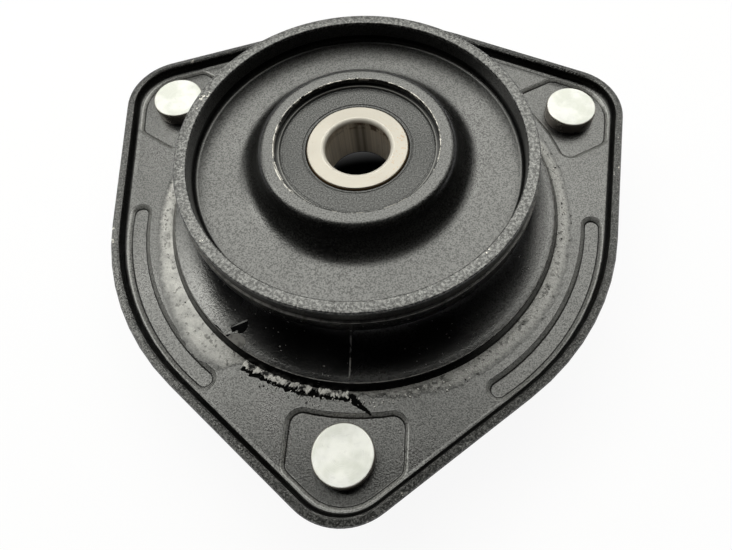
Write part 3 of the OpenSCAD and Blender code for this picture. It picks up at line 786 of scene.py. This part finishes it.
class STRUTMOUNT_OT_rubber(MadePiece, bpy.types.Operator):
    """Rubber insulator: spun moulding with its seam, torn flap, skin on the plate and crumbs"""
    bl_idname = "strut_mount.rubber"
    bl_label = "Rubber insulator"

    def execute(self, context):
        look = context.scene.strut_rubber
        bare = torn_rubber("Bare patch", toned(look.torn, 0.3), toned(look.torn, 0.15))
        bm = bmesh.new()
        turn_section(bm, DISH_BOND + TOWER_SIDE + PLATE_BOND + LIP + flare()[::-1][1:] + COAT, 240)
        add_piece("rubber_moulding", bm, "mount", moulded_rubber("Insulator rubber", look.colour),
                  "insulator_rubber", "rubber_insulator", sharp=38)
        self.seam(look, torn_rubber("Mould seam", toned(look.torn, 0.5)))
        self.coat_edge(bare)
        self.lip_edge(bare)
        self.skin(look, skin_rubber("Rubber skin", look.skin, context.scene.strut_steel.paint))
        self.flap(moulded_rubber("Torn flap", look.colour, 1.45), bare)
        self.tear_shadows(gap_shadow_black("Tear shadow"))
        self.crumbs(torn_rubber("Torn rubber", look.torn))
        return {"FINISHED"}

    def seam(self, look, material):
        """Thin upright ridge down the flare where the mould halves met."""
        bm = bmesh.new()
        w, h = look.seam_w / 2, look.seam_h
        path = [p for p in flare(30) if p[1] < 14.5]
        rows = []
        for (r, z), (r2, z2) in zip(path, path[1:] + [(path[-1][0] + 0.4, path[-1][1])]):
            along = Vector((r2 - r, 0, z2 - z)).normalized()
            out = Vector((-along.z, 0, along.x)) * h
            base = Vector((r * MM, 0, z * MM))
            lean = 0.06 * MM * wander(r * 0.9)
            row = [base - out + Vector((0, s, 0)) for s in (-w, w)]
            row += [base + out + Vector((0, s * 0.45 + lean, 0)) for s in (w, -w)]
            rows.append([bm.verts.new(v) for v in row])
        skin_rows(bm, rows)
        bmesh.ops.rotate(bm, verts=bm.verts, cent=(0, 0, 0),
                         matrix=Matrix.Rotation(math.radians(-90.0), 3, "Z"))
        add_piece("mould_seam", bm, "mount", material, "insulator_rubber")

    def coat_edge(self, material):
        """Thin wavy flash along the top of the coat on the dish's wall."""
        bm = bmesh.new()
        inner, z = 46.9, COAT_TOP
        turn_section(bm, [(inner, z - 0.1), (COAT_R + 0.06, z - 0.1), (COAT_R + 0.02, z + 0.12),
                          (inner, z + 0.14)], 360)
        for v in bm.verts:
            at = v.co / MM
            v.co.z += (noise.noise(at * 0.35) * 0.16 + noise.noise(at * 1.3) * 0.06) * MM
        add_piece("coat_flash", bm, "mount", material, "insulator_rubber")

    def lip_edge(self, material):
        """Fine flash along the top of the lip."""
        bm = bmesh.new()
        turn_section(bm, LIP_FLASH, 360)
        for v in bm.verts:
            v.co.z += noise.noise(v.co / MM * 0.4) * 0.04 * MM
        add_piece("lip_flash", bm, "mount", material, "insulator_rubber")

    def skin(self, look, material):
        """Thin ring of rubber squeezed out over the plate's face, with a ragged edge."""
        bm = bmesh.new()
        t = look.skin_t / MM
        under = PLATE_Z - 0.05
        turn_section(bm, [(SKIN_INNER, under), (SKIN_OUTER, under), (SKIN_OUTER, PLATE_Z + 0.02),
                          (60.6, PLATE_Z + 0.3 * t), (59.2, PLATE_Z + 0.6 * t), (57.8, PLATE_Z + t),
                          (SKIN_INNER, PLATE_Z + 2.0 * t)], 900)
        layer = bm.verts.layers.float.new("reach")
        for v in bm.verts:
            r, a = v.co.xy.length / MM, math.degrees(math.atan2(v.co.y, v.co.x))
            part = max(0.0, r - SKIN_INNER) / (SKIN_OUTER - SKIN_INNER)
            v[layer] = part
            v.co.xy *= (SKIN_INNER + part * (skin_reach(a) - SKIN_INNER)) / r
        add_piece("rubber_skin", bm, "mount", material, "insulator_rubber", sharp=50)

    def flap(self, material, patch_material):
        """Torn flap of rubber standing off the flare beside the lip, and the bare patch it left."""
        bm = bmesh.new()
        raise_face(bm, FLAP, FLAP_SHIFT)
        bmesh.ops.bevel(bm, geom=bm.edges, offset=0.07 * MM, segments=2, profile=0.5,
                        affect="EDGES", material=-1)
        add_piece("torn_flap", bm, "mount", material, "insulator_rubber")
        bm = bmesh.new()
        raise_face(bm, [(r, a, flare_z(r) + 0.03) for r, a in BARE_PATCH], (0, 0, 0.08))
        add_piece("torn_patch", bm, "mount", patch_material, "insulator_rubber")

    def tear_shadows(self, material):
        """Black sheets painted as the shadow in each tear: along the lip's foot, across the plate
        at the front, and beside the flap.
        """
        bm = bmesh.new()
        tear(bm, [(58.5 + 0.5 * wander(a * 0.21), a, PLATE_Z + 0.03) for a in FOOT_TEAR],
             [1.15 + 0.5 * wander(a * 0.9, 5) for a in FOOT_TEAR])
        tear(bm, [(r, a, PLATE_Z + 0.05) for r, a in PLATE_TEAR], PLATE_TEAR_W)
        tear(bm, FLAP_TEAR, FLAP_TEAR_W)
        add_piece("tear_shadows", bm, "mount", material, "insulator_rubber")

    def crumbs(self, material):
        """Teeth of torn flash along the lip's foot at the front, and crumbs round the rest."""
        rng = random.Random(7)
        bm = bmesh.new()
        for arc, count, sizes, reach, stretch in CRUMBS:
            for _ in range(count):
                a = rng.uniform(*arc)
                made = bmesh.ops.create_icosphere(bm, subdivisions=1,
                                                  radius=rng.uniform(*sizes) * MM)["verts"]
                for v in made:
                    v.co *= rng.uniform(0.6, 1.25)
                    v.co.x *= rng.uniform(0.8, 1.1) * stretch
                    v.co.z *= 0.8
                turn = Matrix.Rotation(math.radians(a + rng.uniform(-25, 25)), 4, "Z")
                place = polar(rng.uniform(*reach), a, PLATE_Z + 0.22)
                bmesh.ops.transform(bm, matrix=Matrix.Translation(place) @ turn, verts=made)
        add_piece("flash_crumbs", bm, "mount", material, "insulator_rubber", sharp=60)


class STRUTMOUNT_OT_studs(MadePiece, bpy.types.Operator):
    """Studs: three zinc studs with flat heads and rolled threads"""
    bl_idname = "strut_mount.studs"
    bl_label = "Studs"

    def execute(self, context):
        look = context.scene.strut_studs
        core, k = SHANK_R - look.depth / MM, look.head_round / MM
        shank = [(0, STUD_TIP), (core - 0.9, STUD_TIP), (core - 0.2, STUD_TIP + 0.8),
                 (core, STUD_TIP + 1.2), (core, -0.7), (SHANK_R, 0.0), (SPLINE_R, 0.0),
                 (SPLINE_R, PAD_Z)]
        under = [(7.45, PAD_Z), (7.72, PAD_Z + 0.1), (HEAD_R, PAD_Z + 0.45)]
        over = [(HEAD_R - a * k, HEAD_TOP - b * k) for a, b in (
            (0, 1), (0.08, 0.62), (0.3, 0.3), (0.62, 0.08), (1, 0))]
        top = [(r, HEAD_TOP) for r in (5.0, 2.5, 0)]
        bm = bmesh.new()
        turn_section(bm, shank + under + over + top, 72, closed=False)
        self.thread(bm, look.pitch, core)
        bmesh.ops.recalc_face_normals(bm, faces=bm.faces)
        layer = bm.verts.layers.float.new("axis_r")
        for v in bm.verts:
            v[layer] = v.co.xy.length
        whole = list(bm.verts) + list(bm.edges) + list(bm.faces)
        copies = [whole] + [bmesh.ops.duplicate(bm, geom=whole)["geom"] for _ in LOBES[1:]]
        for degrees, made in zip(LOBES, copies):
            bmesh.ops.translate(bm, verts=only_verts(made), vec=polar(STUD_CIRCLE_R, degrees, 0))
        add_piece("stud_set", bm, "mount", zinc_plate("Stud zinc", look.zinc), "stud_zinc",
                  "mount_studs", sharp=50)
        return {"FINISHED"}

    def thread(self, bm, pitch, core, steps=28):
        """Rolled thread as a ridge swept along a helix round the shank."""
        root, crest, half = (core - 0.15) * MM, (SHANK_R - 0.08) * MM, pitch * 0.46
        start = (STUD_TIP + 1.5) * MM
        turns = int((-STUD_TIP - 2.2) * MM / pitch)
        ridge = [(root, -half), (crest, -half * 0.2), (crest, half * 0.2), (root, half)]
        verts = [bm.verts.new((r, 0, start + z)) for r, z in ridge]
        edges = [bm.edges.new(pair) for pair in zip(verts, verts[1:] + verts[:1])]
        cap = bm.faces.new(verts)
        bmesh.ops.spin(bm, geom=verts + edges + [cap], cent=(0, 0, 0), axis=(0, 0, 1),
                       dvec=(0, 0, pitch / steps), angle=math.tau * turns, steps=steps * turns)


class STRUTMOUNT_OT_bearing(MadePiece, bpy.types.Operator):
    """Bearing: ground rings and balls, a pressed cage and matt seals"""
    bl_idname = "strut_mount.bearing"
    bl_label = "Bearing"

    def execute(self, context):
        look = context.scene.strut_bearing
        seal = seal_rubber("Seal rubber", look.seal)
        bm = bmesh.new()
        turn_section(bm, SEAL)
        add_piece("seal_face", bm, "mount", seal, "seal_rubber", "upper_seal", sharp=25)
        finishes = {
            "inner": ground_steel("Ring steel", look.ring, 0.40, rust=look.rust),
            "outer": ground_steel("Outer ring steel", look.ring, 0.40,
                                  oversprayed={"r": (19.5, 24), "z": (29, 40)}),
            "ball": ground_steel("Ball steel", look.ring, 0.14),
            "cage": ground_steel("Cage steel", look.cage, 0.42),
            "upper": seal,
            "lower": seal,
        }
        for node in NODES:
            kind = node.split("_")[0]
            if kind in finishes:
                dress(node, finishes[kind])
        return {"FINISHED"}


def seen_rays(tree):
    """One for the rays that show the pale ground: seen directly, in gloss or through glass."""
    path = put(tree, "ShaderNodeLightPath").outputs
    return most(tree, path["Is Camera Ray"], path["Is Glossy Ray"], path["Is Transmission Ray"])


class STRUTMOUNT_OT_stage(MadePiece, bpy.types.Operator):
    """Studio: pale floor, soft lights above, behind and beside, a dark front and the camera"""
    bl_idname = "strut_mount.stage"
    bl_label = "Studio"

    def execute(self, context):
        look, scene = context.scene.strut_stage, context.scene
        scene.view_settings.view_transform = "Standard"
        self.floor(look)
        self.world(scene)
        for name, setting, *panel in LAMPS:
            self.lamp(scene, name, getattr(look, setting), *panel)
        self.tent()
        self.camera(scene)
        return {"FINISHED"}

    def floor(self, look):
        """Pale floor that keeps the part's shadow, with a painted shadow under the part where the
        bore shows it.
        """
        bm = bmesh.new()
        bmesh.ops.create_grid(bm, x_segments=1, y_segments=1, size=FLOOR_HALF)
        bmesh.ops.translate(bm, verts=bm.verts, vec=(0, 0, (STUD_TIP - 0.1) * MM))
        material = bpy.data.materials.new("Floor")
        material.use_nodes = True
        tree = material.node_tree
        tree.nodes.clear()
        place = put(tree, "ShaderNodeTexCoord").outputs["Object"]
        away = put(tree, "ShaderNodeVectorMath", {0: place}, operation="LENGTH").outputs["Value"]
        tone = blend(tree, speckle(tree, place, 30.0), toned(look.floor, 0.985), look.floor)
        # Painted shadow: the floor is dark under the part
        tone = blend(tree, ramp(tree, away, 0.05, 0.064), UNDER_PART_SHADOW, tone)
        share_white = times(tree, seen_rays(tree), ramp(tree, away, 0.04, 0.075, 0.0, 0.92))
        lit = put(tree, "ShaderNodeBsdfDiffuse", {"Color": tone})
        white = put(tree, "ShaderNodeEmission", {"Color": WHITE, "Strength": 1.0})
        both = put(tree, "ShaderNodeMixShader", {0: share_white, 1: lit.outputs[0],
                                                 2: white.outputs[0]})
        put(tree, "ShaderNodeOutputMaterial", {"Surface": both.outputs[0]})
        piece = link_mesh("floor", bm, material)

    def world(self, scene):
        """White where it is seen, and little light from it."""
        scene.world = bpy.data.worlds.new("Studio")
        scene.world.use_nodes = True
        tree = scene.world.node_tree
        fill(tree, tree.nodes["Background"], {
            "Color": WHITE, "Strength": ramp(tree, seen_rays(tree), 0.0, 1.0, 0.06, 1.0)})

    def lamp(self, scene, name, brightness, azimuth, zenith, width, height):
        """Soft panel a metre away that faces the part."""
        tilt = math.radians(zenith)
        place = Matrix.Rotation(math.radians(azimuth), 3, "Z") @ Vector((math.sin(tilt), 0,
                                                                        math.cos(tilt)))
        data = bpy.data.lights.new(name, "AREA")
        data.shape, data.size, data.size_y = "RECTANGLE", width, height
        data.energy = math.pi * width * height * brightness
        data.color = LAMP_COLOUR
        lamp = bpy.data.objects.new(name, data)
        scene.collection.objects.link(lamp)
        lamp.location = place
        lamp.rotation_euler = (-place).to_track_quat("-Z", "Y").to_euler()
        lamp.visible_camera = False

    def tent(self):
        """Dark tent round the lights, to the floor at the front, that only reflections show."""
        bm = bmesh.new()
        bmesh.ops.create_uvsphere(bm, u_segments=48, v_segments=36, radius=TENT_R)
        middles = {face: face.calc_center_median() for face in bm.faces}
        bmesh.ops.delete(bm, context="FACES", geom=[
            face for face, at in middles.items()
            if at.z < (TENT_FOOT_FRONT if at.y < 0 else TENT_FOOT_BACK)])
        material = finish_material("Dark tent", Base_Color=TENT_BLACK, Specular_IOR_Level=0.0,
                                   Roughness=1.0)[0]
        tent = link_mesh("dark_tent", bm, material)
        tent.visible_camera = tent.visible_diffuse = tent.visible_shadow = False

    def camera(self, scene):
        """The photograph's view: its azimuth, elevation and roll in degrees, its place in
        millimetres."""
        data = bpy.data.cameras.new("Camera")
        data.sensor_width, data.sensor_fit, data.lens = 36.0, "HORIZONTAL", CAMERA_LENS
        data.shift_x, data.shift_y = CAMERA_SHIFT
        data.clip_start = 0.005
        cam = bpy.data.objects.new("Camera", data)
        scene.collection.objects.link(cam)
        azimuth, elevation, roll = (math.radians(d) for d in CAMERA_TURN)
        forward = Vector((-math.sin(azimuth) * math.cos(elevation),
                          math.cos(azimuth) * math.cos(elevation), -math.sin(elevation)))
        level = forward.cross(Vector((0, 0, 1))).normalized()
        rise = level.cross(forward)
        right = level * math.cos(roll) + rise * math.sin(roll)
        up = rise * math.cos(roll) - level * math.sin(roll)
        place = Matrix((right, up, -forward)).transposed().to_4x4()
        place.translation = Vector(CAMERA_PLACE) * MM
        cam.matrix_world = place
        scene.camera = cam


class STRUTMOUNT_PT_finish(bpy.types.Panel):
    """Lists the steps that finish the mount"""
    bl_idname = "STRUTMOUNT_PT_finish"
    bl_label = "Strut Mount"
    bl_space_type = "VIEW_3D"
    bl_region_type = "UI"
    bl_category = "Strut Mount"

    def draw(self, context):
        for step in OPERATORS:
            self.layout.operator(step.bl_idname)
        for name in LOOKS:
            look, box = getattr(context.scene, name), self.layout.box()
            for prop in look.bl_rna.properties:
                if prop.identifier not in ("rna_type", "name"):
                    box.prop(look, prop.identifier)


OPERATORS = (STRUTMOUNT_OT_plate, STRUTMOUNT_OT_dish, STRUTMOUNT_OT_rubber, STRUTMOUNT_OT_studs,
             STRUTMOUNT_OT_bearing, STRUTMOUNT_OT_stage)
LOOKS = {"strut_steel": PressedSteelLook, "strut_rubber": RubberLook, "strut_studs": StudLook,
         "strut_bearing": BearingLook, "strut_stage": StageLook}


def register():
    for kind in (*LOOKS.values(), *OPERATORS, STRUTMOUNT_PT_finish):
        bpy.utils.register_class(kind)
    for name, kind in LOOKS.items():
        setattr(bpy.types.Scene, name, bpy.props.PointerProperty(type=kind))


def unregister():
    for name in LOOKS:
        delattr(bpy.types.Scene, name)
    for kind in reversed((*LOOKS.values(), *OPERATORS, STRUTMOUNT_PT_finish)):
        bpy.utils.unregister_class(kind)


def main():
    register()
    for made in (grain_group(), zone_group(), chips_group(), turning_group()):
        GROUPS[made.name] = made
    bpy.ops.strut_mount.plate()
    bpy.ops.strut_mount.dish()
    bpy.ops.strut_mount.rubber()
    bpy.ops.strut_mount.studs()
    bpy.ops.strut_mount.bearing()
    bpy.ops.strut_mount.stage()


if __name__ == "__main__":
    main()
